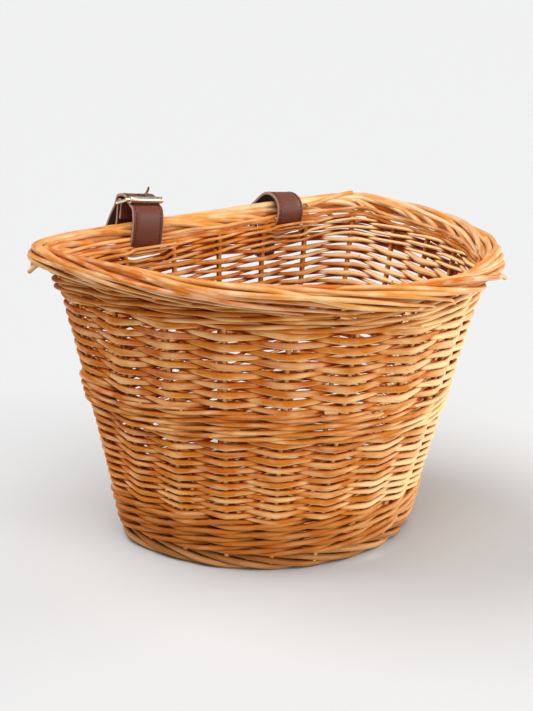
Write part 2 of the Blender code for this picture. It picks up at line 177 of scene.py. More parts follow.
def rod(points, outward, out_radius, up_radius, core=None, core_size=CORE_SIZE, flat_core=True, tint=None,
        closed=False):
    """One rod: its centre line, the outward direction, and the two half widths of its section.

    The core is the middle surface of the weave, or the centre line of the bundle, that it belongs to; the
    nearer the skin lies to it, the darker its painted shade.
    """
    count = len(points)
    tint = RANDOM.uniform(0, 1) if tint is None else tint
    return {
        "points": points, "outward": outward, "closed": closed, "core": points if core is None else core,
        "core_size": np.broadcast_to(core_size, count), "flat_core": flat_core,
        "out": np.broadcast_to(out_radius, count), "up": np.broadcast_to(up_radius, count),
        "tint": np.broadcast_to(tint, count), "start": RANDOM.uniform(0, GRAIN_START),
    }


def section_rings(part, sides):
    """A rod's skin as (points along, sides, 3), its grain coordinates, and how deep in the weave it lies,
    which sets its painted shade.
    """
    points, closed = part["points"], part["closed"]
    if closed:
        along = np.roll(points, -1, 0) - np.roll(points, 1, 0)
    else:
        along = np.gradient(points, axis=0)
    along = unit(along)
    outward = part["outward"] - (part["outward"] * along).sum(-1, keepdims=True) * along
    outward = unit(outward)
    across = np.cross(along, outward)
    turn = np.arange(sides) / sides * 2 * np.pi
    cos, sin = np.cos(turn)[None, :, None], np.sin(turn)[None, :, None]
    skin = (points[:, None] + cos * outward[:, None] * part["out"][:, None, None]
            + sin * across[:, None] * part["up"][:, None, None])
    grain = np.empty(skin.shape)
    grain[..., 0] = lengths_along(points)[:, None] + part["start"]
    grain[..., 1] = np.cos(turn)[None] * GRAIN_RADIUS
    grain[..., 2] = np.sin(turn)[None] * GRAIN_RADIUS
    away = skin - part["core"][:, None]
    if part["flat_core"]:
        away = np.abs((away * outward[:, None]).sum(-1))
    else:
        away = np.linalg.norm(away, axis=-1)
    return skin, grain, np.clip(1 - away / part["core_size"][:, None], 0, 1)


def set_attribute(mesh, name, values):
    """Gives each point of a mesh a number, or a vector."""
    kind, key = ("FLOAT_VECTOR", "vector") if values.ndim > 1 else ("FLOAT", "value")
    mesh.attributes.new(name, kind, "POINT").data.foreach_set(key, values.ravel())


def smooth_shaded(mesh, sharp_angle):
    mesh.shade_smooth()
    mesh.set_sharp_from_angle(angle=sharp_angle)
    return mesh


def tube_faces(count, sides, closed=False, start=0):
    """Faces of a tube of rings of points, with two flat ends if it isn't closed."""
    ring, side = np.meshgrid(np.arange(count if closed else count - 1), np.arange(sides), indexing="ij")
    low, high, beside = ring * sides, (ring + 1) % count * sides, (side + 1) % sides
    quads = np.stack((low + beside, high + beside, high + side, low + side), -1).reshape(-1, 4)
    last = (count - 1) * sides
    ends = [] if closed else [np.arange(sides)[::-1] + start, np.arange(last, last + sides) + start]
    return [face.tolist() for face in (*(quads + start), *ends)]


def skin_mesh(name, rods, sides):
    """One mesh of many rods, each a closed tube with flat cut ends."""
    points, faces, grains, tints, crevices, start = [], [], [], [], [], 0
    for part in rods:
        skin, grain, crevice = section_rings(part, sides)
        points.append(skin.reshape(-1, 3))
        faces += tube_faces(len(skin), sides, part["closed"], start)
        grains.append(grain.reshape(-1, 3))
        crevices.append(crevice.reshape(-1))
        tints.append(np.repeat(part["tint"], sides))
        start += len(skin) * sides
    mesh = bpy.data.meshes.new(name)
    mesh.from_pydata(np.concatenate(points).tolist(), [], faces)
    for attribute_name, values in (("grain", grains), ("tint", tints), ("crevice", crevices)):
        set_attribute(mesh, attribute_name, np.concatenate(values))
    return smooth_shaded(mesh, ROD_SHARP)


def mesh_of(bm, name):
    mesh = bpy.data.meshes.new(name)
    bm.to_mesh(mesh)
    bm.free()
    return mesh


def linked(name, data):
    """A new object in the scene."""
    obj = bpy.data.objects.new(name, data)
    bpy.context.scene.collection.objects.link(obj)
    return obj


def add_piece(name, mesh, materials, body, replaced=()):
    for material in materials:
        mesh.materials.append(material)
    obj = linked(name, mesh)
    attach(obj, body)
    if replaced:
        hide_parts(*replaced)


def rods_piece(name, rods, material, replaced, sides=SECTION_SIDES):
    add_piece(name, skin_mesh(name, rods, sides), [material], "basket", replaced)


# ---- Material helpers

def set_inputs(tree, node, inputs):
    """Links or sets each input, given by its name or its index."""
    for key, value in inputs.items():
        if isinstance(value, bpy.types.NodeSocket):
            tree.links.new(value, node.inputs[key])
        else:
            node.inputs[key].default_value = value


def add_node(tree, kind, inputs, **settings):
    node = tree.nodes.new(kind)
    for key, value in settings.items():
        setattr(node, key, value)
    set_inputs(tree, node, inputs)
    return node


def mixed(tree, factor, first, second):
    """A colour between two, each a socket or an RGB tuple."""
    first, second = ((*colour, 1.0) if isinstance(colour, tuple) else colour for colour in (first, second))
    inputs = {0: factor, 6: first, 7: second}
    return add_node(tree, "ShaderNodeMix", inputs, data_type="RGBA").outputs[2]


def ramp(tree, factor, stops):
    """Numbers or colours along a ramp: (place, value) pairs."""
    node = add_node(tree, "ShaderNodeValToRGB", {"Fac": factor})
    elements = node.color_ramp.elements
    while len(elements) < len(stops):
        elements.new(0.5)
    for element, (place, value) in zip(elements, stops):
        element.position = place
        element.color = (*value, 1.0) if isinstance(value, tuple) else (value, value, value, 1.0)
    return node.outputs["Color"]


def attribute(tree, name, output):
    return add_node(tree, "ShaderNodeAttribute", {}, attribute_name=name).outputs[output]


def noise(tree, vector, scale, stretch=(1.0, 1.0, 1.0), detail=3.0, roughness=0.5):
    place = add_node(tree, "ShaderNodeMapping", {"Vector": vector, "Scale": stretch})
    texture = add_node(tree, "ShaderNodeTexNoise", {
        "Vector": place.outputs["Vector"], "Scale": scale, "Detail": detail, "Roughness": roughness})
    return texture.outputs["Fac"]


def bump(tree, height, distance, strength, before=None):
    inputs = {"Height": height, "Distance": distance, "Strength": strength}
    inputs.update({"Normal": before} if before else {})
    return add_node(tree, "ShaderNodeBump", inputs).outputs["Normal"]


def new_material(name):
    material = bpy.data.materials.new(name)
    material.use_nodes = True
    return material, material.node_tree, material.node_tree.nodes["Principled BSDF"]


# Ramps: (place, value) pairs
TINT_PLACES = (0.0, 0.3, 0.7, 1.0)
STREAKS = ((0.40, 0.0), (0.75, 0.6))
PATCHES = ((0.42, 0.0), (0.68, 0.5))
KNOTS = ((0.0, 0.8), (0.13, 0.0))
# Painted shade on each rod's upper side, and a painted highlight along its lower side where the floor's light
# would catch it
UPPER_SHADE = ((0.0, 0.45), (0.42, 0.0))
LOWER_SIDE_HIGHLIGHT = ((0.60, 0.0), (0.82, 0.5), (0.98, 0.0))
# Painted shade deep in the weave: the recessed parts of each rod are darkened where shade falls between rods
CREVICE_SHADE = ((0.30, 0.0), (0.70, 0.9))
CREVICE_DEEP_SHADE = ((0.65, 0.0), (1.0, 0.95))
# Scales of the noises along and across the grain
STREAK_SCALE, PATCH_SCALE = (60.0, 2600.0, 2600.0), (45.0, 120.0, 120.0)
KNOT_SCALE, LUMP_SCALE = (110.0, 420.0, 420.0), (160.0, 500.0, 500.0)
SCRATCH_SCALE = (400.0, 9000.0, 9000.0)


def willow(name, pale, middle, deep, dark, roughness, gloss):
    """Varnished willow: a tint for each rod, long grain, small knots, painted shade deep in the weave and on
    each rod's upper side, and a painted highlight along its lower side.
    """
    material, tree, shader = new_material(name)
    grain = attribute(tree, "grain", "Vector")
    tint = attribute(tree, "tint", "Fac")
    crevice = attribute(tree, "crevice", "Fac")
    colour = ramp(tree, tint, tuple(zip(TINT_PLACES, (deep, middle, middle, pale))))
    streaks = noise(tree, grain, 1.0, STREAK_SCALE, 4.0)
    patches = noise(tree, grain, 1.0, PATCH_SCALE, 2.0)
    place = add_node(tree, "ShaderNodeMapping", {"Vector": grain, "Scale": KNOT_SCALE})
    knots = add_node(tree, "ShaderNodeTexVoronoi", {"Vector": place.outputs["Vector"], "Scale": 1.0})
    across = add_node(tree, "ShaderNodeSeparateXYZ", {"Vector": grain}).outputs["Z"]
    side = add_node(tree, "ShaderNodeMath", {0: across, 1: 0.5 / GRAIN_RADIUS, 2: 0.5},
                    operation="MULTIPLY_ADD").outputs["Value"]
    # Streaks, pale patches and knots are the wood's own colour; the upper-side shade, lower-side highlight
    # and crevice darkening are painted light
    for factor, stops, stain_and_painted_light in (
            (streaks, STREAKS, deep), (patches, PATCHES, pale), (knots.outputs["Distance"], KNOTS, dark),
            (side, UPPER_SHADE, deep), (side, LOWER_SIDE_HIGHLIGHT, pale),
            (crevice, CREVICE_SHADE, deep), (crevice, CREVICE_DEEP_SHADE, dark)):
        colour = mixed(tree, ramp(tree, factor, stops), colour, stain_and_painted_light)
    ridges = bump(tree, streaks, 0.00015, 0.5)
    lumps = noise(tree, grain, 1.0, LUMP_SCALE, 2.0)
    set_inputs(tree, shader, {
        "Base Color": colour, "Specular IOR Level": 0.07, "Coat Weight": gloss, "Coat Roughness": 0.25,
        "Roughness": ramp(tree, streaks, ((0.3, roughness - 0.08), (0.8, roughness + 0.12))),
        "Normal": bump(tree, lumps, 0.0004, 0.35, ridges)})
    return material


def leather(name, light, dark, roughness, pores):
    """Leather with fine grain, soft mottling and scuffs."""
    material, tree, shader = new_material(name)
    grain = attribute(tree, "grain", "Vector")
    cells = add_node(tree, "ShaderNodeTexVoronoi", {"Vector": grain, "Scale": pores})
    mottle = noise(tree, grain, 160.0, detail=4.0)
    fine = noise(tree, grain, 2400.0, detail=3.0)
    colour = mixed(tree, ramp(tree, mottle, ((0.35, 0.0), (0.68, 1.0))), dark, light)
    colour = mixed(tree, ramp(tree, fine, ((0.55, 0.0), (0.80, 0.35))), colour, dark)
    pebbles = bump(tree, cells.outputs["Distance"], 0.00012, 0.45)
    set_inputs(tree, shader, {
        "Base Color": colour, "Specular IOR Level": 0.3,
        "Roughness": ramp(tree, mottle, ((0.3, roughness + 0.10), (0.7, roughness - 0.06))),
        "Normal": bump(tree, fine, 0.00008, 0.35, pebbles)})
    return material


def plated(name, colour, tarnish, roughness):
    """Bright plated metal with fine scratches and a little tarnish."""
    material, tree, shader = new_material(name)
    grain = attribute(tree, "grain", "Vector")
    scratches = noise(tree, grain, 1.0, SCRATCH_SCALE, 3.0)
    spots = noise(tree, grain, 500.0, detail=4.0)
    set_inputs(tree, shader, {
        "Base Color": mixed(tree, ramp(tree, spots, ((0.52, 0.0), (0.72, 0.8))), colour, tarnish),
        "Metallic": 1.0, "Roughness": ramp(tree, scratches, ((0.3, roughness), (0.8, roughness + 0.18))),
        "Normal": bump(tree, scratches, 0.00003, 0.4)})
    return material


# ---- The woven bands

# Shares of the way round where painted light makes the rods palest, the weave is most open and its rows close
# up in pairs
PAINTED_LIGHT_SHARE, OPEN_SHARE, PAIRED_SHARE = 0.19, 0.34, 0.38
# How much painted light pales the wall rods, against how squarely they face that share
PAINTED_LIGHT_RANGE, PAINTED_LIGHT = (-0.1, 0.7), (0.04, 0.90)
PAIRING = (0.2 * MM, 0.9 * MM)

ROW_REACH = 0.30                    # stakes that a row of randing runs on past its start and its end
ROW_TUCK_END = 0.25            # stakes over which its start comes out from behind
ROW_TUCK = 2.4 * MM
ROW_FIRST_STAKE, ROW_STAKE_STEP = 3, 7
ROW_GRID_PER_STAKE = 8
ROW_HALF_DEPTH = 1.75 * MM
ROW_DEEPEST, ROW_DEPTH_LOST = 1.05, 0.2
ROW_PITCH_TAPER = (1.12, 0.86)
ROW_OUT, ROW_IN = 3.7 * MM, 3.3 * MM
ROW_SHARPNESS = 0.97                # of the bends at the stakes, one being a corner
ROW_WIDTH = 0.90                    # share of the pitch, and what is added at stakes, in front and where open
ROW_AT_STAKES, ROW_IN_FRONT, ROW_OPEN = 0.30, 0.34, 0.12

# How a waling rod lies as it passes three stakes, as shares of its reach out of the wall and of the pitch
WALE_OUT = (1.0, 1.10, 1.0, 0.0, -1.0, 0.0, 1.0)
WALE_UP = (-0.25, 0.0, 0.25, 0.27, 0.0, -0.27, -0.25)
WALE_REACH = 4.0 * MM
WALE_OVERLAP = 0.7
WALE_STARTS = 6
WALE_HALF_DEPTH = 1.9 * MM
WALE_HALF_WIDTH = 0.265
WALE_OPEN, WALE_AT_STRAP = 0.08, 0.2

# Beside a strap the rods make way over these lengths
SHORT_FADE, MIDDLE_FADE, LONG_FADE = 8 * MM, 18 * MM, 26 * MM
STRAP_SIDE_ROOM, BACK_Y = 1 * MM, 0.05
OVER_STRAP = ((-6.1 * MM, 212.6 * MM), (-4.2 * MM, 209.6 * MM), (-1.4 * MM, 206.9 * MM))   # out, height
UNDER_HEIGHT, UNDER_PITCH, UNDER_SPREAD = 201.8 * MM, 3.2 * MM, 1 * MM

# The rods that fill the gap under the border, out and up from its centre line
FILLERS = ((-10.6 * MM, -7.6 * MM), (-10.4 * MM, -4.6 * MM), (-10.2 * MM, -1.6 * MM))
FILLER_LENGTH = STAKE_COUNT - 0.3
FILLER_BULGE, FILLER_SWING = 1.8 * MM, 0.5 * MM
FILLER_RADII = (1.4 * MM, 1.5 * MM)
FILLER_CORE_OUT, FILLER_CORE = -8.5 * MM, 5.5 * MM

STAKE_STEPS, STAKE_CORE = 40, 3.6 * MM
PERIODIC_SAMPLES, PERIODIC_SMOOTHING = 120, 17


def row_shift(share, height):
    """How much higher or lower the rows run than an even spacing up the wall would put them."""
    share_of_height = np.clip((height - ROWS_LOW_Z) / (WALL_TOP_Z - ROWS_LOW_Z), 0, 1)
    return smooth_periodic(share % 1.0, ROW_SHIFT_SHARES, ROW_SHIFTS) * np.sin(np.pi * share_of_height)


def row_stretch(share, height):
    """How much further apart the rows lie there than at an even spacing."""
    return 1 + (row_shift(share, height + MM) - row_shift(share, height - MM)) / (2 * MM)


def facing(share, centre):
    """One at a share of the way round, falling to minus one across from it."""
    return np.cos((share % 1.0 - centre) * 2 * np.pi)


def opened(share):
    """One where the weave has opened, at the right of the back, falling to nothing at the front."""
    return np.clip(facing(share, OPEN_SHARE), 0, 1)


def wall_tint_and_light(share):
    """The tint of a new wall rod: random, plus painted light that makes it paler on the right of the wall."""
    return np.clip(RANDOM.uniform(0, 0.6) + np.interp(facing(share, PAINTED_LIGHT_SHARE), PAINTED_LIGHT_RANGE, PAINTED_LIGHT), 0, 1)


def row_thickness(low, high, starts):
    """For each row, how much of the wall's height it takes up round the wall."""
    share = np.linspace(0, 1, STAKE_COUNT * ROW_GRID_PER_STAKE + 1)
    thickness = []
    for start in starts:
        gone = (share * STAKE_COUNT - start) % STAKE_COUNT / STAKE_COUNT
        thickness.append(np.interp(gone, (0, 1), ROW_PITCH_TAPER) * RANDOM.uniform(0.94, 1.06)
                         + wobble(len(share), 9, 0.035))
    thickness = np.array(thickness)
    return share, thickness * (high - low) / thickness.sum(0)


def randing_rods(low, high, rows):
    """Rows that pass in front of one stake and behind the next, each one rod that tapers as it goes round."""
    count = STAKE_COUNT * STEPS_PER_STAKE + 1
    travel = np.linspace(-ROW_REACH, STAKE_COUNT + ROW_REACH, count)
    tuck = np.interp(travel, (-ROW_REACH, ROW_TUCK_END), (ROW_TUCK, 0.0))
    starts = (np.arange(rows) * ROW_STAKE_STEP + ROW_FIRST_STAKE) % STAKE_COUNT
    share_grid, thickness = row_thickness(low, high, starts)
    middles = low + np.cumsum(thickness, 0) - thickness / 2
    made = []
    for row in range(rows):
        stakes = starts[row] + (row + starts[row] + 1) % 2 + travel
        share, where = share_of(stakes), stakes / STAKE_COUNT % 1.0
        height = np.interp(where, share_grid, middles[row]) + wobble(count, 20, 0.25 * MM)
        pitch = np.interp(where, share_grid, thickness[row]) * row_stretch(share, height)
        wave = np.cos(np.pi * (stakes + row))
        zigzag = np.arcsin(ROW_SHARPNESS * wave) / math.asin(ROW_SHARPNESS)
        outward = np.where(zigzag > 0, ROW_OUT, ROW_IN) * zigzag - tuck
        paired = (PAIRING[0] + PAIRING[1] * facing(share, PAIRED_SHARE)) * zigzag
        height += paired + row_shift(share, height)
        points, normal = wall_place(share, height)
        width = ROW_WIDTH + ROW_AT_STAKES * wave ** 2 + ROW_IN_FRONT * np.cos(np.pi * share) ** 2
        width -= ROW_OPEN * opened(share)
        depth = ROW_HALF_DEPTH * (ROW_DEEPEST - ROW_DEPTH_LOST * travel / STAKE_COUNT)
        made.append(rod(points + normal * outward[:, None], normal, depth, pitch / 2 * width, points,
                        np.abs(outward) + ROW_HALF_DEPTH, tint=wall_tint_and_light(share)))
    return made


def near_strap(points, fade):
    """One where a strap passes through the wall, falling to nothing over a length beside it."""
    beside = np.min([np.abs(points[:, 0] - strap["x"]) for strap in STRAPS.values()], 0)
    share = np.clip((STRAP_WIDTH / 2 + STRAP_SIDE_ROOM + fade - beside) / fade, 0, 1)
    share *= points[:, 1] > BACK_Y
    return share * share * (3 - 2 * share)


def waling_rods(low, high, rounds, parted):
    """Three rods a round, each in front of two stakes and behind the third, and rising as it passes in front.

    Where it is parted, the last round passes inside each strap and the others are pushed down under it.
    """
    count = STAKE_COUNT * STEPS_PER_STAKE
    pitch = (high - low) / rounds
    knots = np.linspace(0, 1, len(WALE_OUT))
    made = []
    for turn in range(rounds):
        for strand in range(3):
            start = strand - turn - 1 + (0 if parted else 3 * RANDOM.integers(WALE_STARTS))
            stakes = start + np.linspace(0.0, STAKE_COUNT + WALE_OVERLAP, count)
            share, phase = share_of(stakes), (stakes - strand + turn) / 3 % 1.0
            outward = smooth_periodic(phase, knots, WALE_OUT) * WALE_REACH
            height = low + pitch * (turn + 0.5 + smooth_periodic(phase, knots, WALE_UP))
            height += wobble(count, 18, 0.3 * MM)
            thick = 1 - WALE_OPEN * opened(share)
            if parted:
                places = wall_surface(share, height)
                beside, far_beside = near_strap(places, SHORT_FADE), near_strap(places, LONG_FADE)
                thick = thick * (1 - WALE_AT_STRAP * far_beside)
                if turn == rounds - 1:
                    over_out, over_height = OVER_STRAP[strand]
                    outward += far_beside * (over_out - outward)
                    height += beside * (over_height - height)
                else:
                    under = (UNDER_HEIGHT - (rounds - 2 - turn) * UNDER_PITCH
                             + (strand - 1) * UNDER_SPREAD)
                    height += beside * (np.minimum(height, under) - height)
            height += row_shift(share, height)
            points, normal = wall_place(share, height)
            thick = thick * RANDOM.uniform(0.92, 1.08)
            made.append(rod(points + normal * outward[:, None], normal, WALE_HALF_DEPTH * thick,
                            WALE_HALF_WIDTH * pitch * thick, points, np.abs(outward) + WALE_HALF_DEPTH,
                            tint=wall_tint_and_light(share)))
    return made


def rim_filler_rods():
    """Rods that close the gap between the top of the wall and the border, on its inside."""
    made = []
    count = STAKE_COUNT * STEPS_PER_STAKE
    for number, (out, up) in enumerate(FILLERS):
        stakes = number - 1 + np.linspace(0.0, FILLER_LENGTH, count)
        place = line_place(BORDER_LINE, share_of(stakes), BORDER_Z)
        points, normal, _ = place
        out = out - FILLER_BULGE * np.cos(np.pi * stakes) ** 2 * (1 - near_strap(points, MIDDLE_FADE))
        out = out + wobble(count, 15, 0.2 * MM)
        up = up + wobble(count, 15, 0.4 * MM) + FILLER_SWING * np.sin(np.pi * (stakes + number))
        core = points + normal * FILLER_CORE_OUT
        made.append(rod(moved(place, out, up), normal, *FILLER_RADII, core, FILLER_CORE))
    return made


def smoothed(values, width):
    """A list of numbers without its first and last few, each averaged with its neighbours."""
    kernel = np.hanning(width)
    return np.convolve(values, kernel / kernel.sum(), "valid")


def smooth_periodic(phase, knots, values):
    """A smooth closed curve through the values at the knots, read at each phase."""
    fine = np.linspace(0, 1, PERIODIC_SAMPLES + 1)
    table = np.interp(fine, knots, values)[:-1]
    edge = PERIODIC_SMOOTHING // 2
    table = smoothed(np.concatenate((table[-edge:], table, table[:edge])), PERIODIC_SMOOTHING)
    return np.interp(phase, fine, np.append(table, table[0]))


def make_stakes(material):
    height = np.linspace(STAKE_BOTTOM_Z, STAKE_TOP_Z, STAKE_STEPS)
    for number in range(STAKE_COUNT):
        points, normal = wall_place(np.full(STAKE_STEPS, share_of(number)), height)
        points = points + normal * wobble(STAKE_STEPS, 3, 0.15 * MM)[:, None]
        name = f"stake_{number + 1:02d}"
        stake = rod(points, normal, STAKE_RADIUS, STAKE_RADIUS, core_size=STAKE_CORE)
        rods_piece(f"{name}_rod", [stake], material, [name])


# ---- The borders

# How a border rod lies round the border's centre as it passes the stakes: stakes, out and up in millimetres
BORDER_TRACK = (
    (-0.10, -10.0, -13.0), (0.15, -9.2, -8.0), (0.70, -7.8, -2.6), (1.40, -6.9, 2.0), (2.20, -4.4, 5.6),
    (3.10, 0.0, 7.2), (4.00, 4.6, 5.2), (4.90, 7.0, 0.8), (5.80, 5.6, -4.2), (6.50, 0.6, -7.6),
    (6.95, -6.5, -11.5), (7.15, -11.0, -13.5),
)
TRACK_SAMPLES, TRACK_SMOOTHING = 200, 15
BORDER_RODS = 34
BORDER_STEPS = 90
BORDER_RADII = ((0.7, 2.2 * MM), (3.0, 2.15 * MM), (5.4, 1.85 * MM))    # stakes along a rod, radius there
BORDER_END_RADIUS = 0.9 * MM
BORDER_TUCKED, BORDER_LOOSE = 0.4, 0.8
# Border rods are paler towards this share of the way round: painted light, as on the wall
BORDER_PAINTED_LIGHT_SHARE, BORDER_PAINTED_LIGHT = 0.3, 0.3
BORDER_CORE = 11.2 * MM
BORDER_STRAP_REACH = 9.4 * MM
# Along the back the bundle is drawn together, towards this place out and up from its centre line
BACK_FLAT = 0.36
BACK_SHARES = (0.15, 0.22, 0.61, 0.66)
BACK_SHIFT = (4.0 * MM, 8.0 * MM)
BACK_CORE_SHRINK = 0.8
INNER_STEPS, INNER_RADIUS, INNER_CORE = 240, 4.2 * MM, 9.6 * MM
# Ends at the rim: share it starts at, length as a share, (out, up) at both ends and radius in millimetres
RIM_ENDS = (
    (0.664, -0.009, (3.0, -5.0), (7.8, -11.5), 1.9), (0.674, -0.009, (3.0, -5.0), (7.0, -12.5), 1.8),
    (0.078, 0.012, (3.0, -4.0), (8.2, -10.0), 1.7),
    (0.341, 0.052, (0.0, 9.4), (-8.5, 3.0), 1.9), (0.334, -0.030, (-9.0, 3.0), (-11.0, -5.0), 1.0),
)
RIM_END_STEPS, RIM_END_CORE, RIM_END_TINT = 16, 10.4 * MM, 0.7
FOOT_STEPS, FOOT_STAKES, FOOT_START, FOOT_TURN = 64, 4.2, math.radians(200), 4
FOOT_OUT, FOOT_UP = 3.4, 4.0
FOOT_RADIUS, FOOT_CORE = 2.45 * MM, 6.4 * MM


def track(stakes, knots):
    """Smooth (out, up) along a rod's track, in metres."""
    knots = np.array(knots)
    fine = np.linspace(knots[0, 0], knots[-1, 0], TRACK_SAMPLES)
    made = []
    for column in (1, 2):
        padded = np.pad(np.interp(fine, knots[:, 0], knots[:, column]), TRACK_SMOOTHING // 2, "edge")
        made.append(np.interp(stakes, fine, smoothed(padded, TRACK_SMOOTHING)) * MM)
    return made


def border_rods():
    made = []
    first, last = BORDER_TRACK[0][0], BORDER_TRACK[-1][0]
    stakes = np.linspace(first, last, BORDER_STEPS)
    from_ends = np.minimum(stakes - first, last - stakes)
    loose = np.clip((from_ends - BORDER_TUCKED) / BORDER_LOOSE, 0, 1)
    radii = ((first, BORDER_END_RADIUS), *BORDER_RADII, (last, BORDER_END_RADIUS))
    for number in range(BORDER_RODS):
        out, up = track(stakes + wobble(BORDER_STEPS, 2, 0.38), BORDER_TRACK)
        layer = RANDOM.uniform(0.82, 1.10) + wobble(BORDER_STEPS, 3, 0.04)
        out = out * layer + wobble(BORDER_STEPS, 4, 0.45 * MM)
        up = up * layer + wobble(BORDER_STEPS, 4, 0.45 * MM)
        start = number * STAKE_COUNT / BORDER_RODS + RANDOM.uniform(-0.2, 0.2)
        share = share_of(start + stakes)
        place = line_place(BORDER_LINE, share, BORDER_Z)
        flat = BACK_FLAT * loose * np.interp(share % 1.0, BACK_SHARES, (0.0, 1.0, 1.0, 0.0))
        flat_out, flat_up = (flat * shift for shift in BACK_SHIFT)
        out = out * (1 - flat) + flat_out
        up = up * (1 - flat) + flat_up
        radius = np.interp(stakes, *zip(*radii)) * (1 + wobble(BORDER_STEPS, 5, 0.03))
        radius = radius * RANDOM.uniform(0.85, 1.12)
        past = np.clip(1 - BORDER_STRAP_REACH / (np.hypot(out, up) + radius), 0, 1)
        held = 1 - near_strap(place[0], SHORT_FADE) * past
        out, up, radius = out * held, up * held, radius * held
        # Random tint, plus painted light towards the right of the back
        tint = RANDOM.uniform(0.05, 0.75) + BORDER_PAINTED_LIGHT * facing(share, BORDER_PAINTED_LIGHT_SHARE)
        made.append(rod(moved(place, out, up), place[1], radius, radius, moved(place, flat_out, flat_up),
                        BORDER_CORE * (1 - BACK_CORE_SHRINK * flat), False, np.clip(tint, 0, 1)))
    points, normal, _ = line_place(BORDER_LINE, np.arange(INNER_STEPS) / INNER_STEPS, BORDER_Z)
    made.append(rod(points, normal, INNER_RADIUS, INNER_RADIUS, points, INNER_CORE, False, 0.0, True))
    return made


def rim_ends():
    """Cut rod ends that stick out of the border, and one rod laid along it at a back corner."""
    made = []
    t = np.linspace(0, 1, RIM_END_STEPS)
    for start, length, low, high, radius in RIM_ENDS:
        out, up = (np.interp(t, (0, 1), ends) * MM for ends in zip(low, high))
        place = line_place(BORDER_LINE, start + length * t, BORDER_Z)
        radius *= MM
        made.append(rod(moved(place, out, up), place[1], radius, radius, place[0], RIM_END_CORE, False,
                        RIM_END_TINT))
    return made


def foot_rods():
    """Rods wound round the foot's centre line, each about four stakes long."""
    made = []
    stakes = np.linspace(0.0, FOOT_STAKES, FOOT_STEPS)
    turn = FOOT_START - stakes / FOOT_TURN * 2 * np.pi
    for number in range(STAKE_COUNT):
        out = (FOOT_OUT * np.cos(turn) + wobble(FOOT_STEPS, 4, 0.15)) * MM
        up = (FOOT_UP * np.sin(turn) + wobble(FOOT_STEPS, 4, 0.15)) * MM
        points, normal, lift = line_place(FOOT_LINE, share_of(number + stakes), 0.0)
        points = points + lift * FOOT_MIDDLE_Z
        radius = FOOT_RADIUS * RANDOM.uniform(0.92, 1.04)
        made.append(rod(moved((points, normal, lift), out, up), normal, radius, radius, points,
                        FOOT_CORE, False, RANDOM.uniform(0, 1)))
    return made


# ---- The base

BASE_STICKS = 7
BASE_MIDDLE_Z = 0.0075
BASE_ROWS = 46
BASE_GAP = 0.025
BASE_STEP = 2 * MM
BASE_LEAST_STEPS = 12
BASE_SWING = 3.4 * MM
BASE_HALF_DEPTH, BASE_SWELL, BASE_CORE = 1.5 * MM, 0.2, 4.9 * MM
STICK_STEPS, STICK_RADIUS, STICK_CORE = 30, 2.0 * MM, 3.4 * MM


def base_half_width(y):
    half_width, front, back, widest, front_power, back_power = WALL_FOOT_PLAN
    half_width, front, back = half_width - BASE_INSET, front + BASE_INSET, back - BASE_INSET
    reach, power = (widest - front, front_power) if y < widest else (back - widest, back_power)
    return half_width * max(0.0, 1 - (abs(y - widest) / reach) ** power) ** (1 / power)


def base_rods():
    front, back = WALL_FOOT_PLAN[1] + BASE_INSET, WALL_FOOT_PLAN[2] - BASE_INSET
    made = []
    pitch = (back - front) / BASE_ROWS
    for row in range(BASE_ROWS):
        y = front + pitch * (row + 0.5)
        reach = base_half_width(y)
        steps = max(BASE_LEAST_STEPS, int(reach * 2 / BASE_STEP))
        x = np.linspace(-reach, reach, steps)
        wave = np.cos(np.pi * (x / BASE_GAP + row))
        z = BASE_MIDDLE_Z + BASE_SWING * wave + wobble(steps, 6, 0.1 * MM)
        points = np.stack((x, y + wobble(steps, 8, 0.25 * MM), z), -1)
        core = points * (1, 1, 0) + UP * BASE_MIDDLE_Z
        half_width = pitch / 2 * (1 + BASE_SWELL * wave ** 2)
        made.append(rod(points, UP, BASE_HALF_DEPTH, half_width, core, BASE_CORE))
    return made


def make_base(weave_material, stick_material):
    rods_piece("base_rods", base_rods(), weave_material, ["base_weave"], 8)
    for number in range(1, BASE_STICKS + 1):
        name = f"base_stick_{number}"
        low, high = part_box(name)
        middle = (low + high) / 2
        x = middle.x + wobble(STICK_STEPS, 3, 0.1 * MM)
        points = np.stack((x, np.linspace(low.y, high.y, STICK_STEPS), np.full(STICK_STEPS, middle.z)), -1)
        stick = rod(points, UP, STICK_RADIUS, STICK_RADIUS, core_size=STICK_CORE)
        rods_piece(f"{name}_rod", [stick], stick_material, [name])


# ---- Straps and buckles. Each strap has its own frame on the border's centre, X along the border.

STRAP_WIDTH = 0.0260
LEATHER_THICKNESS = 0.0022
HEEL_RADIUS = 0.0014
FOLD_RADIUS = HEEL_RADIUS + 0.0003 + LEATHER_THICKNESS / 2
FRAME_LENGTH = 0.0198
FRAME_HALF_WIDTH = 0.0154
FRAME_CORNER = 0.0025
ROLLER_RADIUS = 0.0027
ROLLER_BORE = 0.0018
ROLLER_HALF_LENGTH = 0.0137
ROLLER_BEVEL, ROLLER_BULGE = 0.35 * MM, 0.1 * MM
FRAME_HALF_DEPTH = 0.0013
LATHE_SIDES = 32
PRONG_RADIUS = 0.0010
PRONG_STEP = 0.0012
PRONG_SHARES = (0, 0.5, 0.85, 0.97, 1.0)
PRONG_THICK, PRONG_WIDE = (0.95, 1.0, 0.95, 0.75, 0.45), (1.1, 1.0, 1.05, 1.0, 0.6)
PRONG_EYE_RADIUS = 0.0025
RIVET_RADIUS = 0.0015
RIVET_HEAD_RADIUS = 0.0034
RIVET_HEAD_HEIGHT = 0.0011
RIVET_HALF_LENGTH = 0.0043
STRAP_STEP = 0.0008
TIP_LENGTH, TIP_ROUND = 9 * MM, 9.6 * MM    # over which the tail narrows to its tip
